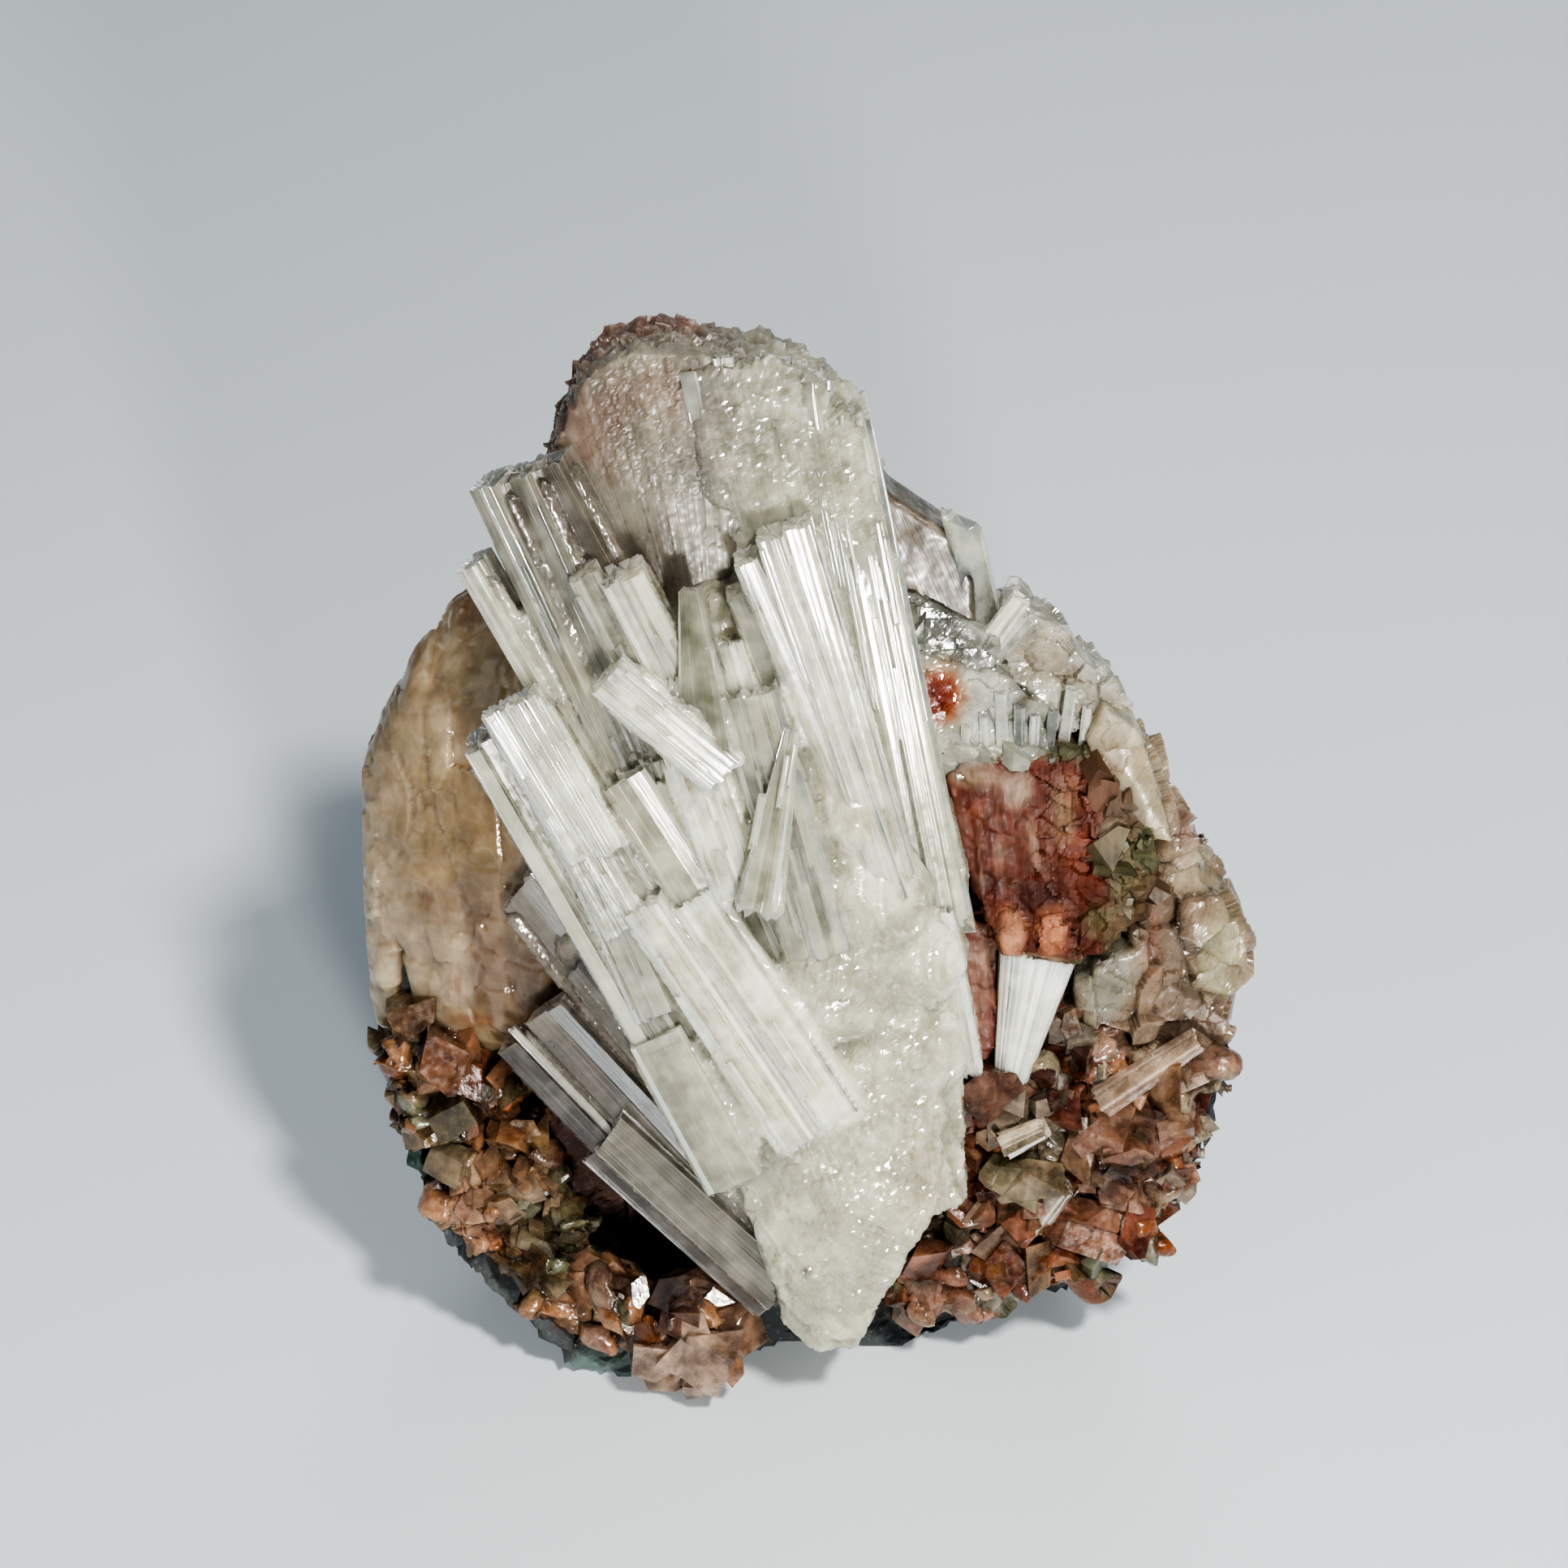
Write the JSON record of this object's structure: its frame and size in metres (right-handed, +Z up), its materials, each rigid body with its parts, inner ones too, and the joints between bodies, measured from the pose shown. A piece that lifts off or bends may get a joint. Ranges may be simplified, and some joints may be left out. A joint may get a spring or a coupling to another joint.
{
  "type": "mineral specimen",
  "caption": "Mineral specimen, scolecite on apophyllite: a white spray of long prisms between stilbite sheaves and blocky apophyllite crusts on a basalt shell, standing on its cut base.",
  "frame": {"origin": "middle of the flat cut base, on the plane that the specimen stands on", "axes": "+Z up; +X to the right as seen from the crystal face; the crystal face looks along -Y and leans back by 20 degrees"},
  "size_m": [0.0941, 0.0578, 0.1099],
  "materials": {
    "basalt": "rough broken rock",
    "white_scolecite": "vitreous to silky, translucent white",
    "honey_stilbite": "pearly, translucent honey",
    "grey_pink_stilbite": "vitreous, translucent with a red brown rim",
    "smoky_stilbite": "pearly, smoky and translucent",
    "clear_apophyllite": "clear to pale tan, vitreous",
    "red_heulandite": "vitreous brick red with a green rim",
    "pink_stilbite": "pearly, translucent pink and cream",
    "peach_apophyllite": "vitreous, translucent peach and olive",
    "red_brown_apophyllite": "vitreous, translucent red brown"
  },
  "bodies": {
    "root": {"basalt_shell": "basalt", "scolecite_spray": "white_scolecite", "scolecite_small_fan": "white_scolecite", "stilbite_left_sheaf": "honey_stilbite", "stilbite_top_fan": "grey_pink_stilbite", "stilbite_upper_right_leaf": "smoky_stilbite", "clear_prism_cluster": "clear_apophyllite", "heulandite_red_mass": "red_heulandite", "stilbite_right_plates": "pink_stilbite", "apophyllite_left_crust": "peach_apophyllite", "apophyllite_right_crust": "red_brown_apophyllite"}
  },
  "joints": []
}
